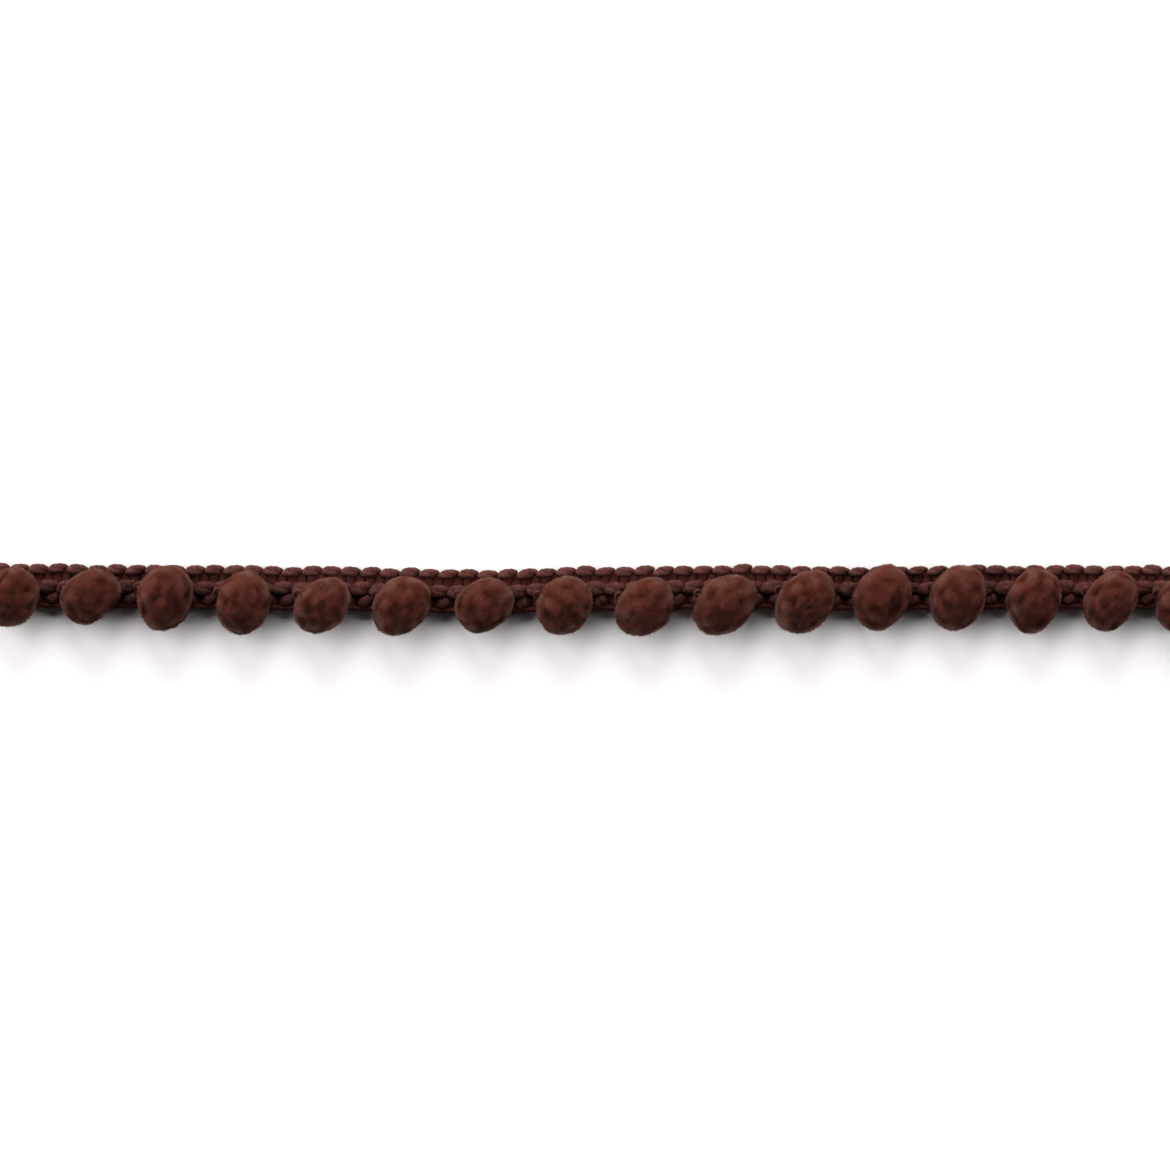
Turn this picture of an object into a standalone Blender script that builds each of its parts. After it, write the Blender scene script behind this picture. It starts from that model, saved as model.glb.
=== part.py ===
"""Pompom fringe trim: a straight cut of narrow knitted heading with mini pompoms tied along it.

+X runs along the trim, +Y across it towards the scalloped edge, and +Z up.
The origin is the centre of the heading's flat back, which lies on the surface below.
"""

import math
import random
from collections import namedtuple

import bmesh
import bpy
from mathutils import Matrix, Vector

MM = 0.001

# The whole trim
TRIM_NAME = "pompom_fringe_trim"
POMPOM_PITCH = 7.84 * MM
STITCHES_PER_POMPOM = 4
CLEARANCE = 0.3 * MM

# The heading's section, as (across, up) of each point along one row of stitches.
# notch_in and notch_down say how far the point draws in between two stitches.
SectionPoint = namedtuple("SectionPoint", "across up notch_in notch_down")
HEADING_SECTION = (
    SectionPoint(across=-1.85, up=0.00, notch_in=0.00, notch_down=0.00),
    SectionPoint(across=-2.25, up=0.50, notch_in=0.15, notch_down=0.00),
    SectionPoint(across=-1.90, up=1.00, notch_in=0.10, notch_down=0.20),
    SectionPoint(across=-1.25, up=1.10, notch_in=0.00, notch_down=0.30),
    SectionPoint(across=-0.80, up=0.70, notch_in=0.00, notch_down=0.00),
    SectionPoint(across=-0.35, up=1.25, notch_in=0.00, notch_down=0.35),
    SectionPoint(across=0.45, up=1.30, notch_in=0.00, notch_down=0.35),
    SectionPoint(across=0.90, up=0.65, notch_in=0.00, notch_down=0.00),
    SectionPoint(across=1.25, up=1.10, notch_in=0.00, notch_down=0.25),
    SectionPoint(across=1.85, up=1.00, notch_in=-0.12, notch_down=0.25),
    SectionPoint(across=2.15, up=0.50, notch_in=-0.38, notch_down=0.00),
    SectionPoint(across=1.80, up=0.00, notch_in=-0.20, notch_down=0.00),
)
HEADING_TOP = 1.35 * MM
LOWER_EDGE = -2.25 * MM
LOWER_EDGE_ROUND = 0.65 * MM

# Where along a stitch its sections lie, and how full the stitch is there.
StitchSection = namedtuple("StitchSection", "share fullness")
STITCH_SECTIONS = (
    StitchSection(share=0.00, fullness=0.0),
    StitchSection(share=0.20, fullness=1.0),
    StitchSection(share=0.80, fullness=1.0),
)
STITCH_UNEVENNESS = 0.05
STITCH_SEED = 11

# How the heading wanders sideways along its length, in millimetres.
Wander = namedtuple("Wander", "along sideways")
HEADING_WANDER = (
    Wander(along=-63.0, sideways=0.30),
    Wander(along=-48.0, sideways=0.15),
    Wander(along=-28.0, sideways=-0.05),
    Wander(along=-12.0, sideways=-0.35),
    Wander(along=0.0, sideways=-0.05),
    Wander(along=14.0, sideways=0.15),
    Wander(along=26.0, sideways=-0.05),
    Wander(along=44.0, sideways=0.10),
    Wander(along=52.0, sideways=0.10),
    Wander(along=63.0, sideways=-0.10),
)

# The pompoms, in millimetres and degrees. height is the long way, and lean turns it towards +X.
Pompom = namedtuple("Pompom", "along across width height lean")
POMPOMS = (
    Pompom(along=-58.75, across=-0.90, width=5.1, height=6.0, lean=15),
    Pompom(along=-51.05, across=-1.05, width=5.7, height=5.7, lean=20),
    Pompom(along=-43.50, across=-1.00, width=5.4, height=6.6, lean=15),
    Pompom(along=-35.70, across=-1.55, width=5.2, height=6.3, lean=3),
    Pompom(along=-27.80, across=-1.75, width=5.6, height=5.7, lean=20),
    Pompom(along=-19.85, across=-1.80, width=5.7, height=5.8, lean=18),
    Pompom(along=-11.60, across=-1.85, width=5.8, height=5.5, lean=10),
    Pompom(along=-3.55, across=-1.80, width=5.5, height=5.8, lean=12),
    Pompom(along=4.50, across=-1.90, width=5.6, height=6.0, lean=25),
    Pompom(along=12.45, across=-1.75, width=6.1, height=6.1, lean=30),
    Pompom(along=20.50, across=-1.40, width=5.8, height=6.2, lean=12),
    Pompom(along=28.20, across=-1.15, width=5.4, height=6.5, lean=8),
    Pompom(along=35.80, across=-1.00, width=5.4, height=6.4, lean=8),
    Pompom(along=43.40, across=-1.35, width=5.2, height=6.3, lean=4),
    Pompom(along=51.05, across=-1.40, width=5.3, height=6.2, lean=4),
    Pompom(along=58.50, across=-1.70, width=5.5, height=5.8, lean=8),
)
POMPOM_CENTRE_UP = 2.35 * MM
POMPOM_DEPTH_SHARE = 0.94

# The locks of pile. They radiate from a small core in gores round the trim's length, and the
# tie at the middle parts them into a left and a right half. Reaches are shares of the pompom's
# radius, and fills are shares of each lock's room on the ball.
GORES = 5
CORE_REACH = 0.30
SHOULDER_REACH = 0.95
SHOULDER_FILL = 0.91
CROWN_REACH = 1.00
CROWN_FILL = 0.50
TIP_REACH = 1.02
LOCK_UNEVENNESS = 0.03
POLE_ANGLE = math.radians(54)
SEAT_REAR_ANGLE = math.radians(-30)
GORE_UNEVENNESS = math.radians(13)
RING_UNEVENNESS = math.radians(7)
POMPOM_SEED = 40
REST_REACH = 0.3 * MM

# Colours
HEADING_YARN = (0.075, 0.030, 0.024, 1.0)
POMPOM_PILE = (0.105, 0.034, 0.024, 1.0)
YARN_ROUGHNESS = 0.85
PILE_ROUGHNESS = 0.95


def clear_scene():
    for item in list(bpy.data.objects):
        bpy.data.objects.remove(item, do_unlink=True)


def yarn_material(name, colour, roughness):
    material = bpy.data.materials.new(name)
    material.use_nodes = True
    shader = material.node_tree.nodes["Principled BSDF"]
    shader.inputs["Base Color"].default_value = colour
    shader.inputs["Roughness"].default_value = roughness
    shader.inputs["Metallic"].default_value = 0.0
    return material


def add_part(bm, name, place, material, collection):
    mesh = bpy.data.meshes.new(name)
    bm.to_mesh(mesh)
    bm.free()
    mesh.materials.append(material)
    part = bpy.data.objects.new(name, mesh)
    part.location = place
    collection.objects.link(part)
    return part


def sideways_at(along):
    """How far the heading's middle wanders from the straight line at this place along it."""
    for before, after in zip(HEADING_WANDER, HEADING_WANDER[1:]):
        if along <= after.along * MM:
            break
    share = (along / MM - before.along) / (after.along - before.along)
    share = min(max(share, 0.0), 1.0)
    eased = share * share * (3.0 - 2.0 * share)
    return (before.sideways + (after.sideways - before.sideways) * eased) * MM


def heading_ring(bm, along, fullness, plumpness):
    """One cross section of the heading. A stitch is at its fullest at 1 and pinched at 0."""
    sideways = sideways_at(along)
    ring = []
    for point in HEADING_SECTION:
        pinch = 1.0 - fullness
        across = point.across + point.notch_in * pinch
        up = (point.up - point.notch_down * pinch) * (1.0 + plumpness * fullness)
        ring.append(bm.verts.new((along, across * MM + sideways, up * MM)))
    return ring


def make_heading(material, collection):
    """A loft through pinched and full sections: three rows of raised stitches on a flat back."""
    stitch_length = POMPOM_PITCH / STITCHES_PER_POMPOM
    stitches = STITCHES_PER_POMPOM * len(POMPOMS)
    start = -stitch_length * stitches / 2
    uneven = random.Random(STITCH_SEED)
    bm = bmesh.new()
    rings = []
    for number in range(stitches):
        plumpness = uneven.uniform(-STITCH_UNEVENNESS, 0.0)
        for section in STITCH_SECTIONS:
            along = start + stitch_length * (number + section.share)
            rings.append(heading_ring(bm, along, section.fullness, plumpness))
    rings.append(heading_ring(bm, -start, 0.0, 0.0))
    count = len(HEADING_SECTION)
    for left, right in zip(rings, rings[1:]):
        for i in range(count):
            j = (i + 1) % count
            bm.faces.new((left[i], left[j], right[j], right[i]))
    bm.faces.new(rings[0])
    bm.faces.new(rings[-1])
    bmesh.ops.recalc_face_normals(bm, faces=bm.faces)
    return add_part(bm, "heading", Vector((0.0, 0.0, 0.0)), material, collection)


def seat_front_angle(centre):
    """The angle, from straight down towards the lower edge, at which a plane through the
    pompom's centre just clears the heading's rounded lower edge.
    """
    across = LOWER_EDGE + LOWER_EDGE_ROUND + sideways_at(centre.x) - centre.y
    up = HEADING_TOP - LOWER_EDGE_ROUND - centre.z
    towards_round = math.atan2(-across, -up)
    return towards_round + math.asin((LOWER_EDGE_ROUND + CLEARANCE) / math.hypot(across, up))


def gore_angles(front):
    """The angles of the planes between the gores. The seat lies between the last and the first."""
    width = (math.tau - front + SEAT_REAR_ANGLE) / (GORES - 1)
    return [front + width * number for number in range(GORES)]


def make_core(bm, angles, uneven):
    """A small ball with its poles along the trim, a face for the root of each lock."""
    bmesh.ops.create_uvsphere(bm, u_segments=GORES, v_segments=4, radius=1.0)
    for vert in bm.verts:
        number = round(math.atan2(vert.co.y, vert.co.x) / (math.tau / GORES)) % GORES
        around = angles[number]
        if 0 < number < GORES - 1:
            around += uneven.uniform(-GORE_UNEVENNESS, GORE_UNEVENNESS)
        from_pole = math.acos(max(-1.0, min(1.0, vert.co.z)))
        from_equator = (from_pole - math.pi / 2) / (math.pi / 4)
        if abs(from_equator) < 1.5:
            from_pole = math.pi / 2 + round(from_equator) * (math.pi / 2 - POLE_ANGLE)
            from_pole += uneven.uniform(-RING_UNEVENNESS, RING_UNEVENNESS)
        ring = math.sin(from_pole)
        across = -ring * math.sin(around)
        up = -ring * math.cos(around)
        vert.co = Vector((-math.cos(from_pole), across, up)) * CORE_REACH


def in_seat(face, angles):
    """Whether the face lies between the planes that bound the seat."""
    middle = face.calc_center_median()
    around = math.atan2(-middle.y, -middle.z) % math.tau
    return around < angles[0] or around > angles[-1]


def step_out(bm, faces, fill, reach):
    """Grows each face outwards on its own to reach, filling that share of its room on the ball."""
    grown = bmesh.ops.extrude_discrete_faces(bm, faces=faces)["faces"]
    for face in grown:
        middle = face.calc_center_median().normalized()
        for vert in face.verts:
            vert.co = middle.lerp(vert.co.normalized(), fill).normalized() * reach
    return grown


def make_locks(bm, angles, uneven):
    """Locks of pile of three or four sides, apart but for their roots on the core.

    The seat's faces bear no lock: there the pompom is tied down to the heading.
    """
    rooted = [face for face in bm.faces if not in_seat(face, angles)]
    shoulders = step_out(bm, rooted, SHOULDER_FILL, SHOULDER_REACH)
    crowns = step_out(bm, shoulders, CROWN_FILL / SHOULDER_FILL, CROWN_REACH)
    tips = bmesh.ops.poke(bm, faces=crowns)["verts"]
    for tip in tips:
        length = TIP_REACH + uneven.uniform(-LOCK_UNEVENNESS, LOCK_UNEVENNESS)
        tip.co = tip.co.normalized() * length
    bmesh.ops.triangulate(bm, faces=bm.faces)


def swell_to_ball(bm, row):
    """Scales each point out along its own direction to the leaning oval ball of this row."""
    depth = POMPOM_DEPTH_SHARE * (row.width + row.height) / 2
    upright = Matrix.Rotation(math.radians(row.lean), 3, "Z")
    for vert in bm.verts:
        aim = upright @ vert.co.normalized()
        share = Vector((aim.x / row.width, aim.y / row.height, aim.z / depth))
        vert.co *= MM / 2 / share.length


def press_on_heading(bm):
    """Flattens the rear lower pile over the heading. In front, tips that would sink into the
    surface are shorter, and the lowest ones reach down to rest on it.
    """
    rear_drop = max(-vert.co.z for vert in bm.verts if vert.co.y > 0.0)
    front_drop = max(-vert.co.z for vert in bm.verts if vert.co.y < 0.0)
    room = POMPOM_CENTRE_UP - HEADING_TOP - CLEARANCE
    for vert in bm.verts:
        drop = -vert.co.z
        if vert.co.y > 0.0 and drop > 0.0:
            vert.co.z *= room / rear_drop
        elif drop > POMPOM_CENTRE_UP:
            vert.co *= POMPOM_CENTRE_UP / drop
        elif drop > min(front_drop, POMPOM_CENTRE_UP) - REST_REACH:
            vert.co.z = -POMPOM_CENTRE_UP


def make_pompom(number, row, material, collection):
    uneven = random.Random(POMPOM_SEED + number)
    centre = Vector((row.along * MM, row.across * MM, POMPOM_CENTRE_UP))
    angles = gore_angles(seat_front_angle(centre))
    bm = bmesh.new()
    make_core(bm, angles, uneven)
    make_locks(bm, angles, uneven)
    swell_to_ball(bm, row)
    press_on_heading(bm)
    return add_part(bm, f"pompom_{number:02d}", centre, material, collection)


def main():
    clear_scene()
    trim = bpy.data.collections.new(TRIM_NAME)
    bpy.context.scene.collection.children.link(trim)
    heading_yarn = yarn_material("heading_yarn", HEADING_YARN, YARN_ROUGHNESS)
    pompom_pile = yarn_material("pompom_pile", POMPOM_PILE, PILE_ROUGHNESS)
    make_heading(heading_yarn, trim)
    for number, row in enumerate(POMPOMS, start=1):
        make_pompom(number, row, pompom_pile, trim)


main()
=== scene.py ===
"""Looks of the pompom fringe trim: knitted yarn over the heading, and cut pile over the pompoms.

Everything is in metres. +X runs along the trim, +Y across it towards the scalloped edge, +Z up.
"""

import math
from collections import namedtuple

import bmesh
import bpy
import numpy as np
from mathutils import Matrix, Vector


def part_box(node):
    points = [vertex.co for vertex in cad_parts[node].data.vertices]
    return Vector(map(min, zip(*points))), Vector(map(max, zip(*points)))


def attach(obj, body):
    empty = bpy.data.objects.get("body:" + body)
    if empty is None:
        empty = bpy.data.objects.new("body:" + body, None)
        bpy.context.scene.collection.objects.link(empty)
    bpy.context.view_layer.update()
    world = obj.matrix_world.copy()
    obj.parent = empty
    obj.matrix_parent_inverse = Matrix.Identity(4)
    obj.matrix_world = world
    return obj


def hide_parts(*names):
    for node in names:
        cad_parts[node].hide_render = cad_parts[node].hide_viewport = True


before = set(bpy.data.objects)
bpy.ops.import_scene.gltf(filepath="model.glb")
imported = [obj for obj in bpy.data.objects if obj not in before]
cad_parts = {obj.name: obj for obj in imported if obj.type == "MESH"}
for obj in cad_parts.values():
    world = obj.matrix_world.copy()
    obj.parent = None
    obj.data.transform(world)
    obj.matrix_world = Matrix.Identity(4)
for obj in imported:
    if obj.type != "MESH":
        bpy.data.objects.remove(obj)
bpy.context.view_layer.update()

MM = 0.001
BODY = "root"
UP = np.array((0.0, 0.0, 1.0))

# The heading, from the frame. Its middle line is read from the corners of its flat back, which lie
# below BACK_LEVEL and reach BACK_HALF_WIDTH to each side of that line.
HEADING_NODE = "heading"
POMPOM_NODES = sorted(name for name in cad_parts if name.startswith("pompom_"))
HEADING_LOW, HEADING_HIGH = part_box(HEADING_NODE)
STITCHES_PER_POMPOM = 4
STITCHES = STITCHES_PER_POMPOM * len(POMPOM_NODES)
STITCH_LENGTH = (HEADING_HIGH.x - HEADING_LOW.x) / STITCHES
BACK_HALF_WIDTH = 1.85 * MM
BACK_LEVEL = 0.01 * MM

# The three rows of chain stitches on the heading's face, in millimetres. across is measured from
# the middle line, and crest is how high the row stands. Each stitch has two legs, which bow apart
# by spread, with these half widths at their fullest. shift moves a row's stitches along, as a
# share of one stitch, and length is their share of it.
Row = namedtuple("Row", "name across spread leg_across leg_up crest shift length seed")
ROWS = (
    Row("edge", 1.63, 0.15, 0.36, 0.34, 1.14, -0.26, 0.89, 1),
    Row("middle", -0.15, 0.20, 0.54, 0.42, 1.32, 0.24, 1.00, 2),
    Row("lower", -1.33, 0.06, 0.62, 0.34, 1.04, 0.50, 0.40, 3),
)

# One leg: how full its ends are, how deep they dip, and how squarely it swells between them. The
# two legs of a stitch are staggered along the trim and differ in their twist.
LEG_RINGS = 15
LEG_SIDES = 12
LEG_END_FULLNESS = 0.26
LEG_END_DIP = 0.50 * MM
LEG_SQUARENESS = 2.5
LEG_STAGGER = 0.14 * MM
LEG_TWIST = math.pi / 3

# How uneven the stitches are: how far each is moved, turned and swollen at most
STITCH_SHIFT = 0.07 * MM
STITCH_TURN = math.radians(7)
STITCH_SWELL = 0.10

# The weft, a soft flat yarn that crosses under the stitches twice for each one. It narrows to
# WEFT_TURN_WIDTH where it turns at the edges, and waves gently up and down as it crosses. The
# widening and the sharpness are the powers that shape its turns.
CROSSINGS_PER_STITCH = 2
WEFT_REACH = (-2.00 * MM, 1.50 * MM)
WEFT_HALF_WIDTH = 0.53 * MM
WEFT_HALF_HEIGHT = 0.20 * MM
WEFT_TURN_WIDTH = 0.26 * MM
WEFT_WIDENING = 0.4
WEFT_LEVEL = 0.46 * MM
WEFT_WAVE = 0.05 * MM
WEFT_WAVE_LENGTH = 1.6 * MM
WEFT_TURN_SHARPNESS = 9
WEFT_SHIFT = 0.03 * MM
WEFT_RINGS = 16
WEFT_SIDES = 10
WEFT_SEED = 17

# The cords that hold the weft: one under each row, and one along the edge that the pompoms cover.
# across is measured from the middle line, and up is the height of the cord's own middle, both in
# millimetres.
Cord = namedtuple("Cord", "across radius up")
BACK_CORDS = tuple(Cord(across, 0.17, 0.19) for across in (1.55, 0.12, -1.40))
EDGE_CORDS = (Cord(-2.06, 0.28, 0.56),)
CORD_RINGS = 8
CORD_SIDES = 8
CORD_SWAY = 0.16 * MM
EDGE_CORD_SWAY = 0.03 * MM

# Twisted yarn: strands round its section, how deep the grooves between them are, and the length of
# one turn. Cords take their fibres from places CORDS_APART in one long yarn, and stitches and curls
# take theirs from anywhere in its YARN_LENGTH, both in millimetres.
YARN_STRANDS = 3
YARN_GROOVE = 0.07
YARN_TWIST = 1.7 * MM
CORDS_APART = 10.0
YARN_LENGTH = 100.0

# A pompom's oval is fitted to the corners of its solid that reach out to at least this share of the
# farthest one, so that the roots of the locks are left out
FREE_REACH_SHARE = 0.6

# The pompoms' pile. Its tips reach REACH_SHARE of the oval, give or take PILE_UNEVENNESS, and their
# roots lie on a skin at SKIN_SHARE of that.
PILE_POINTS = 6200
PILE_JITTER = 0.45
SKIN_SHARE = 0.92
REACH_SHARE = 1.02
PILE_UNEVENNESS = 0.040
TIP_SCATTER = 0.04 * MM
PILE_SEED = 90

# The pile swells in broad lumps, ruffles into small clumps, parts along wandering lines, and lies
# over this way and that. Each is a field of waves. Its frequency, in half waves across the ball's
# radius, is that of its shortest waves, and the others take theirs from WAVE_SHARES of it.
FIELD_WAVES = 14
WAVE_SHARES = (0.6, 1.0)
LUMP_FREQUENCY = 2.6
LUMP_HEIGHT = 0.05 * MM
RUFFLE_FREQUENCY = 8.5
RUFFLE_HEIGHT = 0.018 * MM
PARTING_FREQUENCY = 3.4
PARTING_WIDTH = 0.16
PARTING_DEPTH = 0.05 * MM
LEAN_FREQUENCY = 4.2
LEAN_REACH = 0.10 * MM

# How each pompom hangs, from the left, set against the photo's outline: how far its free
# side slants towards -X, how much it narrows there, and how far it is drawn out
Hang = namedtuple("Hang", "slant narrowing reach")
HANGS = (
    Hang(0.05, -0.10, 1.05), Hang(0.20, 0.30, 0.95), Hang(0.00, 0.00, 1.05), Hang(0.05, 0.00, 1.05),
    Hang(0.20, -0.05, 1.05), Hang(0.20, 0.00, 1.10), Hang(0.20, 0.10, 1.00), Hang(0.10, 0.05, 1.05),
    Hang(0.15, -0.10, 1.05), Hang(0.30, 0.00, 1.05), Hang(0.20, -0.05, 1.10), Hang(0.10, 0.15, 0.95),
    Hang(0.10, 0.05, 1.05), Hang(0.10, 0.20, 1.05), Hang(0.20, 0.05, 1.00), Hang(0.10, 0.00, 1.00),
)

# How light the pile is, from 0 to 1: painted dark down at its roots as the shade deep in the pile,
# lighter out at its tips, and lightest along loose fibres, which stand out of that shade. The others
# add painted light and shade to that or take from it: lighter on the ruffles' crests and towards the
# heading, where the light falls, and darker in the partings and on the flanks.
ROOT_SHADE_TONE = 0.28
TIP_TONE = 0.66
STRAY_TONE = 0.80
RUFFLE_LIGHT_AND_SHADE_TONE = 0.045
PARTING_SHADE_TONE = 0.08
PAINTED_LIGHT_TOWARDS_HEADING = 0.18
FLANK_SHADE_TONE = 0.20
TIP_TONE_UNEVENNESS = 0.11

# Loose fibres on each pompom. They reach past the tips by a random share of STRAY_REACH, and bend
# and thin towards their ends.
STRAY_FIBRES = 110
STRAY_RINGS = 5
STRAY_SIDES = 3
STRAY_RADIUS = 0.022 * MM
STRAY_REACH = 0.30 * MM
STRAY_LENGTHS = (0.2, 1.0)
STRAY_THINNING = 0.7
STRAY_BEND = 0.30 * MM

# What presses the pile: the heading's section, as places across from its middle line and heights
# there, in millimetres. Beyond it the floor does. Pile is eased over PRESS_DEPTH above them.
HEADING_SECTION = (
    (-2.85, 0.00), (-2.30, 0.85), (-2.00, 1.14), (-0.95, 1.16), (-0.60, 1.34),
    (0.85, 1.34), (1.20, 1.18), (2.00, 1.16), (2.40, 0.60), (2.60, 0.00),
)
SECTION_ACROSS, SECTION_UP = np.array(HEADING_SECTION).T * MM
PRESS_DEPTH = 0.22 * MM

# The binding yarn that ties each pompom down. It curls out at the ball's left side, and dives back
# under it. The curl's middle lies just off the ball in the direction of TIE_AIM.
TIE_RADIUS = 0.15 * MM
TIE_RINGS = 26
TIE_SIDES = 9
TIE_AIM = np.array((-0.92, 0.34, -0.06))
TIE_REACH_SHARE = 1.06
TIE_CURL_RADIUS = 0.36 * MM
TIE_CURL_UNEVENNESS = 0.10
TIE_CURL_START = math.radians(250)
TIE_CURL_SWEEP = math.radians(320)
TIE_DIP = 0.25 * MM
TIE_SEED = 300

# Colours. Each pair is the darkest and the lightest tone of one yarn.
HEADING_DARK = (0.034, 0.0086, 0.0068, 1.0)
HEADING_LIGHT = (0.140, 0.045, 0.037, 1.0)
# The weft's pair is darker than the heading's yarn: painted shade for the deep grooves between the
# rows, where the weft shows, and for the cords
WEFT_SHADED_DARK = (0.034, 0.0052, 0.0036, 1.0)
WEFT_SHADED_LIGHT = (0.088, 0.0175, 0.0125, 1.0)
# The pile's darkest colour is painted shade, down at the roots of its fibres
PILE_SHADED_ROOT = (0.030, 0.007, 0.005, 1.0)
PILE_TIP = (0.112, 0.0244, 0.0140, 1.0)
SHEEN_TINT = (0.90, 0.55, 0.46, 1.0)
FLOOR_COLOUR = (0.88, 0.875, 0.87, 1.0)

# The surface of each thing
Finish = namedtuple("Finish", "roughness specular sheen")
YARN_FINISH = Finish(0.85, 0.15, 0.08)
PILE_FINISH = Finish(0.95, 0.10, 0.20)
FLOOR_FINISH = Finish(0.90, 0.10, 0.00)
SHEEN_ROUGHNESS = 0.5

# Spun yarn's noises: fibres, drawn out along the yarn, and patches of uneven dye, with the patches'
# share of the tone. TONE_ENDS are the noise values where the darkest and the lightest colour lie.
FIBRE_STRETCH = (1.4, 22.0, 22.0)
FIBRE_SCALE = 1.0
FIBRE_DETAIL = 3.0
DYE_SCALE = 2.2
DYE_DETAIL = 2.0
DYE_SHARE = 0.45
YARN_TONE_ENDS = (0.34, 0.66)
YARN_BUMP_STRENGTH = 0.6
YARN_BUMP_DEPTH = 0.03 * MM

# The pile's mottle, with its share of the tone
MOTTLE_SCALE = 900.0
MOTTLE_DETAIL = 3.0
MOTTLE_SHARE = 0.30
PILE_TONE_ENDS = (0.20, 0.80)

# The camera looks straight down. FRAME_WIDTH is what it sees across at FOCUS_LEVEL.
CAMERA_AT = (-1.5 * MM, 0.2 * MM)
CAMERA_DISTANCE = 600 * MM
FOCUS_LEVEL = 2.35 * MM
FRAME_WIDTH = 117 * MM
SENSOR_WIDTH = 36.0
CLIP_NEAR = 10 * MM
CLIP_FAR = 20.0

# The floor and the faint surround
FLOOR_SIZE = 8.0
FLOOR_LEVEL = -0.02 * MM
WORLD_STRENGTH = 0.02
WORLD_COLOUR = (1.0, 1.0, 1.0, 1.0)

# Broad soft lights. bearing is in degrees from +Y towards +X, and elevation in degrees above the
# floor. share is how light each one alone would make the open floor, where 1 is white. Together
# they pass 1, so the open floor is plain white.
SoftLight = namedtuple("SoftLight", "name bearing elevation share colour")
SIDE_TINT = (1.0, 0.96, 0.965)
WHITE = (1.0, 1.0, 1.0)
SOFT_LIGHTS = (
    SoftLight("left", -88, 29, 0.25, SIDE_TINT),
    SoftLight("upper_left", -58, 40, 0.17, WHITE),
    SoftLight("upper_left_low", -55, 25, 0.14, WHITE),
    SoftLight("top", -5, 27, 0.24, WHITE),
    SoftLight("upper_right", 45, 42, 0.08, WHITE),
    SoftLight("right", 88, 27, 0.26, SIDE_TINT),
)
LIGHT_SPREAD = math.radians(36)


# ---------------------------------------------------------------- materials


def new_material(name):
    material = bpy.data.materials.new(name)
    material.use_nodes = True
    tree = material.node_tree
    return material, tree, tree.nodes["Principled BSDF"]


def linked_noise(tree, vector, scale, detail):
    noise = tree.nodes.new("ShaderNodeTexNoise")
    noise.inputs["Scale"].default_value = scale
    noise.inputs["Detail"].default_value = detail
    tree.links.new(vector, noise.inputs["Vector"])
    return noise.outputs["Fac"]


def stretched(tree, vector, scale):
    mapping = tree.nodes.new("ShaderNodeMapping")
    mapping.inputs["Scale"].default_value = scale
    tree.links.new(vector, mapping.inputs["Vector"])
    return mapping.outputs["Vector"]


def blended(tree, first, second, share):
    mix = tree.nodes.new("ShaderNodeMix")
    mix.inputs["Factor"].default_value = share
    tree.links.new(first, mix.inputs["A"])
    tree.links.new(second, mix.inputs["B"])
    return mix.outputs["Result"]


def link_colour(tree, tone, ends, dark, light, shader):
    """Colours the shader from dark to light as the tone goes from one of the ends to the other."""
    ramp = tree.nodes.new("ShaderNodeValToRGB")
    first, last = ramp.color_ramp.elements
    first.position, last.position = ends
    first.color = dark
    last.color = light
    tree.links.new(tone, ramp.inputs["Fac"])
    tree.links.new(ramp.outputs["Color"], shader.inputs["Base Color"])


def link_bump(tree, height, strength, depth, shader):
    bump = tree.nodes.new("ShaderNodeBump")
    bump.inputs["Strength"].default_value = strength
    bump.inputs["Distance"].default_value = depth
    tree.links.new(height, bump.inputs["Height"])
    tree.links.new(bump.outputs["Normal"], shader.inputs["Normal"])


def set_finish(shader, finish):
    shader.inputs["Roughness"].default_value = finish.roughness
    shader.inputs["Specular IOR Level"].default_value = finish.specular
    shader.inputs["Sheen Weight"].default_value = finish.sheen
    shader.inputs["Sheen Roughness"].default_value = SHEEN_ROUGHNESS
    shader.inputs["Sheen Tint"].default_value = SHEEN_TINT


def yarn_material(name, dark, light):
    """Spun yarn: fine fibres that follow the twist, uneven dye, and a soft fuzz."""
    material, tree, shader = new_material(name)
    place = tree.nodes.new("ShaderNodeAttribute")
    place.attribute_name = "yarn"
    drawn_out = stretched(tree, place.outputs["Vector"], FIBRE_STRETCH)
    fibres = linked_noise(tree, drawn_out, FIBRE_SCALE, FIBRE_DETAIL)
    dye = linked_noise(tree, place.outputs["Vector"], DYE_SCALE, DYE_DETAIL)
    tone = blended(tree, fibres, dye, DYE_SHARE)
    link_colour(tree, tone, YARN_TONE_ENDS, dark, light, shader)
    link_bump(tree, fibres, YARN_BUMP_STRENGTH, YARN_BUMP_DEPTH, shader)
    set_finish(shader, YARN_FINISH)
    return material


def pile_material():
    """Cut pile: painted shade down between the tufts, lighter at the tips, with a velvety bloom."""
    material, tree, shader = new_material("pompom_pile")
    tone = tree.nodes.new("ShaderNodeAttribute")
    tone.attribute_name = "tone"
    place = tree.nodes.new("ShaderNodeTexCoord")
    mottle = linked_noise(tree, place.outputs["Object"], MOTTLE_SCALE, MOTTLE_DETAIL)
    mottled = blended(tree, tone.outputs["Fac"], mottle, MOTTLE_SHARE)
    link_colour(tree, mottled, PILE_TONE_ENDS, PILE_SHADED_ROOT, PILE_TIP, shader)
    set_finish(shader, PILE_FINISH)
    return material


def floor_material():
    material, _, shader = new_material("pale_floor")
    shader.inputs["Base Color"].default_value = FLOOR_COLOUR
    set_finish(shader, FLOOR_FINISH)
    return material


# ---------------------------------------------------------------- meshes


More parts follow.
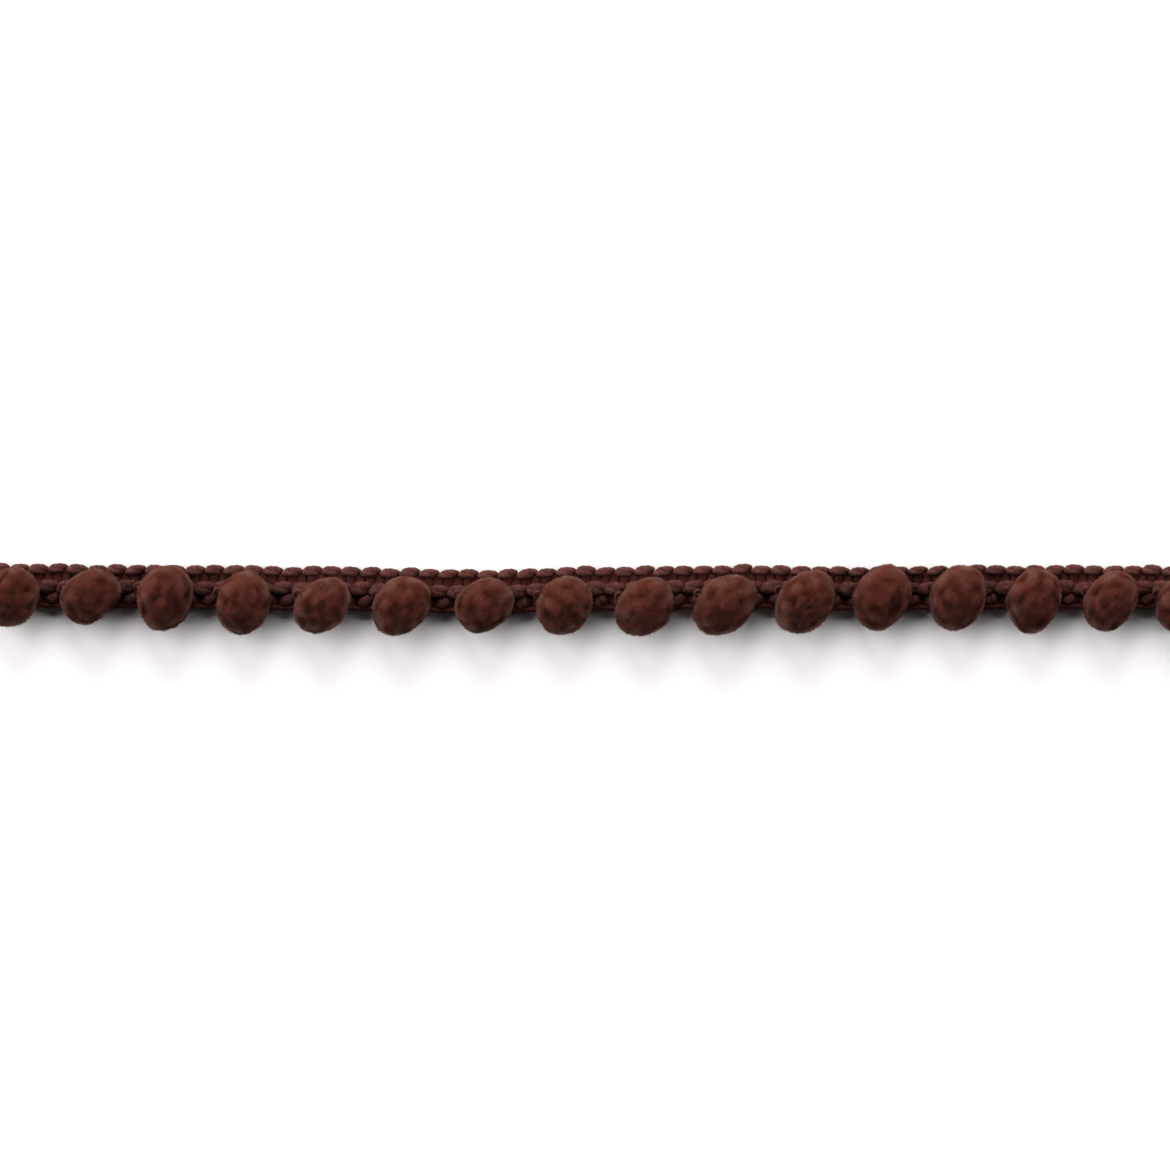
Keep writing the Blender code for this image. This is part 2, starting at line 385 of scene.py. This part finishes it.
def add_piece(name, points, faces, attribute, kind, values, material, replaces):
    """Adds a closed mesh with one attribute on its points, which rides on the part's body."""
    mesh = bpy.data.meshes.new(name)
    mesh.from_pydata(points.tolist(), [], faces)
    mesh.attributes.new(attribute, kind, "POINT")
    field = "vector" if kind == "FLOAT_VECTOR" else "value"
    mesh.attributes[attribute].data.foreach_set(field, values.ravel())
    mesh.shade_smooth()
    mesh.materials.append(material)
    piece = bpy.data.objects.new(name, mesh)
    bpy.context.scene.collection.objects.link(piece)
    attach(piece, BODY)
    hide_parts(replaces)


def unit(vectors):
    return vectors / np.linalg.norm(vectors, axis=-1, keepdims=True)


def tube_faces(rings, sides):
    """The faces of a tube whose points are its rings and then the middles of its two ends."""
    faces = []
    first, last = rings * sides, rings * sides + 1
    for j in range(sides):
        k = (j + 1) % sides
        for i in range(rings - 1):
            a, b = i * sides, (i + 1) * sides
            faces.append((a + j, a + k, b + k, b + j))
        faces.append((first, k, j))
        faces.append((last, (rings - 1) * sides + j, (rings - 1) * sides + k))
    return faces


def tube(path, across, up, sides, reference=UP, turn=0.0, offset=0.0, groove=YARN_GROOVE):
    """Yarn swept along a path, with its half widths at each point of the path.

    Returns its points, its faces, and each point's place in the yarn as if it were straight and
    untwisted, in millimetres.
    """
    tangent = unit(np.gradient(path, axis=0))
    side = unit(np.cross(reference, tangent))
    over = np.cross(tangent, side)
    steps = np.linalg.norm(np.diff(path, axis=0), axis=1)
    distance = np.concatenate(((0.0,), np.cumsum(steps)))
    twist = (distance / YARN_TWIST * math.tau + turn)[:, None]
    angle = np.arange(sides) * math.tau / sides
    full = 1.0 - groove + groove * np.cos(YARN_STRANDS * (angle[None, :] - twist))
    wide = np.cos(angle)[None, :] * across[:, None] * full
    high = np.sin(angle)[None, :] * up[:, None] * full
    rings = path[:, None, :] + side[:, None, :] * wide[..., None] + over[:, None, :] * high[..., None]
    points = np.concatenate((rings.reshape(-1, 3), path[:1], path[-1:]))
    untwisted = angle[None, :] - twist
    radius = np.hypot(wide, high)
    lengthwise = np.broadcast_to(distance[:, None], wide.shape)
    place = np.stack((lengthwise, np.cos(untwisted) * radius, np.sin(untwisted) * radius), axis=-1)
    ends = np.array(((distance[0], 0.0, 0.0), (distance[-1], 0.0, 0.0)))
    place = np.concatenate((place.reshape(-1, 3), ends)) / MM
    place[:, 0] += offset
    return points, tube_faces(len(path), sides), place


def joined(meshes):
    """The points, faces and point values of several meshes as those of one."""
    points, faces, values = [], [], []
    start = 0
    for some_points, some_faces, some_values in meshes:
        points.append(some_points)
        values.append(some_values)
        faces.extend(tuple(index + start for index in face) for face in some_faces)
        start += len(some_points)
    return np.concatenate(points), faces, np.concatenate(values)


def add_yarn(name, tubes, material):
    """Adds tubes of yarn as one piece of the heading."""
    points, faces, places = joined(tubes)
    add_piece(name, points, faces, "yarn", "FLOAT_VECTOR", places,
              material, HEADING_NODE)


# ---------------------------------------------------------------- heading


def read_middle_line():
    """The heading's middle line, from the edge of its flat back that lies under the pompoms."""
    corners = np.array([vert.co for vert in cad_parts[HEADING_NODE].data.vertices])
    back_edge = corners[(corners[:, 2] < BACK_LEVEL) & (corners[:, 1] < 0.0)]
    back_edge = back_edge[np.argsort(back_edge[:, 0])]
    return back_edge[:, 0], back_edge[:, 1] + BACK_HALF_WIDTH


MIDDLE_ALONG, MIDDLE_ACROSS = read_middle_line()


def middle_at(along):
    return np.interp(along, MIDDLE_ALONG, MIDDLE_ACROSS)


def follow_heading(path):
    """Moves a path from the straight line to the heading's own middle line."""
    moved = path.copy()
    moved[:, 1] += middle_at(path[:, 0])
    return moved


def stitch_leg(row, number, side, unevenness, offset):
    """One leg of a chain stitch. Both its ends dip under the stitches before and after it.

    offset is where its yarn comes from in a long one, and sets its fibres and its twist.
    """
    shift, turn, swell, lift = unevenness
    share = (1.0 - np.cos(np.linspace(0.0, math.pi, LEG_RINGS))) / 2
    hump = np.sqrt(1.0 - np.abs(2.0 * share - 1.0) ** LEG_SQUARENESS)
    middle = HEADING_LOW.x + STITCH_LENGTH * (number + 0.5 + row.shift) + side * LEG_STAGGER
    along = middle + STITCH_LENGTH * row.length * (share - 0.5)
    across = row.across * MM + side * row.spread * MM * hump * swell + shift
    across = across + (along - middle) * turn
    up = (row.crest - row.leg_up) * MM + lift - LEG_END_DIP * (1.0 - hump)
    fullness = LEG_END_FULLNESS + (1.0 - LEG_END_FULLNESS) * hump
    path = follow_heading(np.stack((along, across, up), axis=1))
    return tube(path, row.leg_across * MM * fullness * swell, row.leg_up * MM * fullness,
                LEG_SIDES, turn=side * LEG_TWIST + offset, offset=offset)


def make_row(row, material):
    """One row of chain stitches, none quite like the next."""
    rng = np.random.default_rng(row.seed)
    legs = []
    for number in range(STITCHES):
        shift = rng.uniform(-STITCH_SHIFT, STITCH_SHIFT)
        turn = rng.uniform(-STITCH_TURN, STITCH_TURN)
        swell = 1.0 + rng.uniform(-STITCH_SWELL, STITCH_SWELL)
        lift = rng.uniform(-STITCH_SHIFT, STITCH_SHIFT)
        for side in (-1, 1):
            offset = rng.uniform(0.0, YARN_LENGTH)
            legs.append(stitch_leg(row, number, side, (shift, turn, swell, lift), offset))
    add_yarn(f"heading_row_{row.name}", legs, material)


def make_weft(material):
    """One flat yarn that goes back and forth under the stitches and turns at both edges."""
    rng = np.random.default_rng(WEFT_SEED)
    spacing = STITCH_LENGTH / CROSSINGS_PER_STITCH
    weft_middle = (WEFT_REACH[0] + WEFT_REACH[1]) / 2
    weft_half_reach = (WEFT_REACH[1] - WEFT_REACH[0]) / 2
    share = (np.arange(WEFT_RINGS) + 0.5) / WEFT_RINGS
    angle = math.pi * share
    lean = 0.5 * spacing * np.sign(share - 0.5) * np.abs(np.cos(angle)) ** WEFT_TURN_SHARPNESS
    width = WEFT_TURN_WIDTH + (WEFT_HALF_WIDTH - WEFT_TURN_WIDTH) * np.sin(angle) ** WEFT_WIDENING
    paths = []
    for number in range(STITCHES * CROSSINGS_PER_STITCH):
        direction = 1 if number % 2 == 0 else -1
        middle = HEADING_LOW.x + spacing * (number + 0.5)
        across = weft_middle - direction * weft_half_reach * np.cos(angle)
        along = middle + lean + rng.uniform(-WEFT_SHIFT, WEFT_SHIFT)
        up = WEFT_LEVEL + WEFT_WAVE * np.cos(across * math.tau / WEFT_WAVE_LENGTH)
        paths.append(np.stack((along, across, up), axis=1))
    path = follow_heading(np.concatenate(paths))
    height = np.full(len(path), WEFT_HALF_HEIGHT)
    weft = tube(path, np.tile(width, len(paths)), height, WEFT_SIDES)
    add_yarn("heading_weft", [weft], material)


def make_cords(name, cords, sway, material):
    """Thin cords along the whole heading, which sway once for each stitch."""
    share = np.linspace(0.0, 1.0, STITCHES * CORD_RINGS + 1)
    along = HEADING_LOW.x + share * (HEADING_HIGH.x - HEADING_LOW.x)
    yarns = []
    for number, cord in enumerate(cords):
        across = cord.across * MM + sway * np.sin(share * STITCHES * math.tau)
        up = np.full(len(along), cord.up * MM)
        path = follow_heading(np.stack((along, across, up), axis=1))
        radius = np.full(len(along), cord.radius * MM)
        yarns.append(tube(path, radius, radius, CORD_SIDES, offset=number * CORDS_APART))
    add_yarn(name, yarns, material)


# ---------------------------------------------------------------- pompoms


class Ball:
    """The oval of a pompom, fitted to the upper ends of its solid's locks.

    The oval is where offset @ form @ offset is 1, for offsets from its centre in millimetres.
    """

    def __init__(self, node):
        low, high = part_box(node)
        middle = np.array((low + high) / 2)
        corners = np.array([vert.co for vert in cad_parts[node].data.vertices])
        offset = (corners - middle) / MM
        reach = np.linalg.norm(offset, axis=1)
        free = (offset[:, 2] > 0.0) & (reach > FREE_REACH_SHARE * reach.max())
        x, y, z = offset[free].T
        terms = np.stack((x * x, x * y, y * y, z * z, x, y, z), axis=1)
        xx, xy, yy, zz, *slope = np.linalg.lstsq(terms, np.ones(len(x)), rcond=None)[0]
        form = np.array(((xx, xy / 2, 0.0), (xy / 2, yy, 0.0), (0.0, 0.0, zz)))
        centre = -np.linalg.solve(form, np.array(slope)) / 2
        self.form = form / (1.0 + centre @ form @ centre)
        self.centre = middle + centre * MM

    def reach(self, aims):
        """How far the oval reaches from its centre in each direction."""
        return MM / np.sqrt(np.einsum("ij,jk,ik->i", aims, self.form, aims))


def spiral_aims(count, jitter, rng):
    """Directions spread evenly over a ball on a golden spiral, each moved a little."""
    index = np.arange(count) + 0.5
    polar = np.arccos(1.0 - 2.0 * index / count)
    around = index * math.pi * (1.0 + math.sqrt(5.0))
    sideways = np.sin(polar)
    aims = np.stack((np.cos(around) * sideways, np.sin(around) * sideways, np.cos(polar)), axis=1)
    spacing = math.sqrt(4.0 * math.pi / count)
    return unit(aims + rng.uniform(-0.5, 0.5, aims.shape) * jitter * spacing)


def ball_net(count, jitter, rng):
    """Directions over a ball and the triangles between neighbouring ones."""
    net = bmesh.new()
    for aim in spiral_aims(count, jitter, rng):
        net.verts.new(aim)
    bmesh.ops.convex_hull(net, input=net.verts[:])
    net.verts.index_update()
    aims = np.array([vert.co for vert in net.verts])
    faces = np.array([[vert.index for vert in face.verts] for face in net.faces])
    net.free()
    return aims, faces


class Field:
    """A smooth uneven field over the ball, between about -2 and 2, from waves in all directions."""

    def __init__(self, frequency, rng):
        wave_number = rng.uniform(*WAVE_SHARES, (FIELD_WAVES, 1)) * frequency * math.pi
        self.waves = unit(rng.normal(size=(FIELD_WAVES, 3))) * wave_number
        self.phases = rng.uniform(0.0, math.tau, FIELD_WAVES)

    def at(self, aims):
        return np.sin(aims @ self.waves.T + self.phases).sum(axis=1) * math.sqrt(2.0 / FIELD_WAVES)


class Pile:
    """How one pompom's pile lies: its lumps, ruffles, partings and lean."""

    def __init__(self, rng):
        self.lumps = Field(LUMP_FREQUENCY, rng)
        self.ruffles = Field(RUFFLE_FREQUENCY, rng)
        self.partings = Field(PARTING_FREQUENCY, rng)
        self.leans = [Field(LEAN_FREQUENCY, rng) for _ in range(3)]

    def parting(self, aims):
        """1 on the lines where the pile parts, and 0 away from them."""
        return np.exp(-((self.partings.at(aims) / PARTING_WIDTH) ** 2))

    def height(self, aims):
        swell = LUMP_HEIGHT * self.lumps.at(aims) + RUFFLE_HEIGHT * self.ruffles.at(aims)
        return swell - PARTING_DEPTH * self.parting(aims)

    def lean(self, aims):
        """How far the tips are carried sideways, never outwards."""
        field = np.stack([lean.at(aims) for lean in self.leans], axis=1)
        return LEAN_REACH * (field - aims * (field * aims).sum(axis=1, keepdims=True))

    def tone(self, aims):
        """Painted light and shade: lighter on the ruffles and towards the heading, darker in partings
        and on the flanks.
        """
        # Painted light towards the heading's side, painted shade on the far side, the flanks, the
        # partings and the ruffles' dips
        lighter = RUFFLE_LIGHT_AND_SHADE_TONE * self.ruffles.at(aims) + PAINTED_LIGHT_TOWARDS_HEADING * aims[:, 1]
        darker = PARTING_SHADE_TONE * self.parting(aims) + FLANK_SHADE_TONE * aims[:, 0] ** 2
        return lighter - darker


def hung(hang, offsets, size):
    """Draws out and narrows the free side of a ball of this size, and slants it towards -X there."""
    x, y, z = offsets.T
    below = np.minimum(y, 0.0)
    x = x * (1.0 + hang.narrowing * below / size) + hang.slant * y
    return np.stack((x, y + (hang.reach - 1.0) * below, z), axis=1)


def press_down(points):
    """Presses pile that would sink into the heading or the floor: the lower, the more."""
    x, y, z = points.T
    eased_from = np.interp(y - middle_at(x), SECTION_ACROSS, SECTION_UP) + PRESS_DEPTH
    sunk = np.minimum(z - eased_from, 0.0)
    eased = eased_from - PRESS_DEPTH * (1.0 - np.exp(sunk / PRESS_DEPTH))
    return np.stack((x, y, np.where(sunk < 0.0, eased, z)), axis=1)


def turned_net(net, rng):
    """The net turned over at random, with the direction of each triangle's middle."""
    aims, faces = net
    turn = np.linalg.qr(rng.normal(size=(3, 3)))[0]
    turned = aims @ (turn * np.linalg.det(turn)).T
    return turned, faces, unit(turned[faces].sum(axis=1))


def stray_fibres(ball, hang, rng):
    """Loose thin ends that stand proud of the pile."""
    fibres = []
    for aim in unit(rng.normal(size=(STRAY_FIBRES, 3))):
        reach = ball.reach(aim[None, :])[0]
        bend = np.cross(aim, unit(rng.normal(size=3)))
        share = np.linspace(0.0, 1.0, STRAY_RINGS)[:, None]
        length = STRAY_REACH * rng.uniform(*STRAY_LENGTHS)
        path = aim * (reach * SKIN_SHARE + (reach * (1.0 - SKIN_SHARE) + length) * share)
        path = ball.centre + hung(hang, path, reach) + bend * STRAY_BEND * share ** 2
        radius = STRAY_RADIUS * (1.0 - STRAY_THINNING * share[:, 0])
        fibres.append(tube(press_down(path), radius, radius, STRAY_SIDES, reference=bend, groove=0.0))
    return fibres


def cut_pile(ball, hang, net, rng):
    """The pile's points, faces and tones. Each of the net's triangles carries one pointed bundle."""
    pile = Pile(rng)
    root_aims, faces, tip_aims = turned_net(net, rng)
    root_reach = ball.reach(root_aims) * REACH_SHARE
    tip_reach = ball.reach(tip_aims) * REACH_SHARE
    roots = root_aims * (root_reach * SKIN_SHARE + pile.height(root_aims))[:, None]
    uneven = 1.0 + rng.uniform(-PILE_UNEVENNESS, PILE_UNEVENNESS, len(tip_aims))
    tips = tip_aims * (tip_reach * uneven + pile.height(tip_aims))[:, None]
    tips = tips + pile.lean(tip_aims) + rng.uniform(-TIP_SCATTER, TIP_SCATTER, tips.shape)
    hung_pile = hung(hang, np.concatenate((roots, tips)), tip_reach.mean())
    tip_index = len(roots) + np.arange(len(faces))
    sides = [np.stack((faces[:, i], faces[:, (i + 1) % 3], tip_index), axis=1) for i in range(3)]
    uneven_tone = rng.uniform(-TIP_TONE_UNEVENNESS, TIP_TONE_UNEVENNESS, len(tips))
    # Roots are painted darker, as the shade down in the pile
    shaded_root_tones = ROOT_SHADE_TONE + pile.tone(root_aims)
    tip_tones = TIP_TONE + pile.tone(tip_aims) + uneven_tone
    tones = np.concatenate((shaded_root_tones, tip_tones))
    return press_down(ball.centre + hung_pile), np.concatenate(sides).tolist(), tones


def make_pompom(node, hang, net, seed, material):
    """One pompom: its cut pile and its loose fibres."""
    rng = np.random.default_rng(seed)
    ball = Ball(node)
    pile = cut_pile(ball, hang, net, rng)
    fibres = [(points, faces, np.full(len(points), STRAY_TONE))
              for points, faces, _ in stray_fibres(ball, hang, rng)]
    points, faces, tones = joined([pile, *fibres])
    name = node.replace("pompom", "pile")
    add_piece(name, points, faces, "tone", "FLOAT", tones, material, node)


def make_ties(material):
    """The binding yarn of each pompom: a curl that comes up at its left and dives under it."""
    rng = np.random.default_rng(TIE_SEED)
    angle = TIE_CURL_START - np.linspace(0.0, TIE_CURL_SWEEP, TIE_RINGS)
    aim = unit(TIE_AIM)
    width = np.full(TIE_RINGS, TIE_RADIUS)
    curls = []
    for node, hang in zip(POMPOM_NODES, HANGS):
        ball = Ball(node)
        reach = ball.reach(aim[None, :])[0]
        middle = ball.centre + hung(hang, aim[None, :] * reach * TIE_REACH_SHARE, reach)
        radius = TIE_CURL_RADIUS * rng.uniform(1.0 - TIE_CURL_UNEVENNESS, 1.0 + TIE_CURL_UNEVENNESS)
        across, along = radius * np.sin(angle), radius * np.cos(angle)
        path = middle + np.stack((along, across, TIE_DIP * np.sin(angle)), axis=1)
        curls.append(tube(path, width, width, TIE_SIDES, offset=rng.uniform(0.0, YARN_LENGTH)))
    add_yarn("pompom_ties", curls, material)


# ---------------------------------------------------------------- stage


def add_floor():
    mesh = bpy.data.meshes.new("floor")
    half = FLOOR_SIZE / 2
    corners = ((-half, -half), (half, -half), (half, half), (-half, half))
    mesh.from_pydata([(x, y, FLOOR_LEVEL) for x, y in corners], [], [(0, 1, 2, 3)])
    mesh.materials.append(floor_material())
    floor = bpy.data.objects.new("floor", mesh)
    bpy.context.scene.collection.objects.link(floor)


def add_lights():
    """Adds the soft lights, and a faint surround."""
    for light in SOFT_LIGHTS:
        elevation = math.radians(light.elevation)
        sun = bpy.data.lights.new(light.name, "SUN")
        sun.energy = light.share * math.pi / (math.sin(elevation) * FLOOR_COLOUR[0])
        sun.color = light.colour
        sun.angle = LIGHT_SPREAD
        lamp = bpy.data.objects.new(light.name, sun)
        lamp.rotation_euler = (math.pi / 2 - elevation, 0.0, math.pi - math.radians(light.bearing))
        bpy.context.scene.collection.objects.link(lamp)
    world = bpy.data.worlds.new("pale_surround")
    world.use_nodes = True
    background = world.node_tree.nodes["Background"]
    background.inputs["Color"].default_value = WORLD_COLOUR
    background.inputs["Strength"].default_value = WORLD_STRENGTH
    bpy.context.scene.world = world
    bpy.context.scene.view_settings.view_transform = "Standard"


def add_camera():
    data = bpy.data.cameras.new("camera")
    data.sensor_width = SENSOR_WIDTH
    data.lens = SENSOR_WIDTH * CAMERA_DISTANCE / FRAME_WIDTH
    data.clip_start = CLIP_NEAR
    data.clip_end = CLIP_FAR
    camera = bpy.data.objects.new("camera", data)
    camera.location = (*CAMERA_AT, FOCUS_LEVEL + CAMERA_DISTANCE)
    bpy.context.scene.collection.objects.link(camera)
    bpy.context.scene.camera = camera


def main():
    heading_yarn = yarn_material("heading_yarn", HEADING_DARK, HEADING_LIGHT)
    # The weft and the cords take the darker yarn, as painted shade in the grooves
    shaded_weft_yarn = yarn_material("shaded_weft_yarn", WEFT_SHADED_DARK, WEFT_SHADED_LIGHT)
    pompom_pile = pile_material()
    for row in ROWS:
        make_row(row, heading_yarn)
    make_weft(shaded_weft_yarn)
    make_cords("heading_back_cords", BACK_CORDS, CORD_SWAY, shaded_weft_yarn)
    make_cords("heading_edge_cord", EDGE_CORDS, EDGE_CORD_SWAY, shaded_weft_yarn)
    make_ties(heading_yarn)
    net = ball_net(PILE_POINTS, PILE_JITTER, np.random.default_rng(PILE_SEED))
    for number, (node, hang) in enumerate(zip(POMPOM_NODES, HANGS)):
        make_pompom(node, hang, net, PILE_SEED + number, pompom_pile)
    add_floor()
    add_lights()
    add_camera()


main()
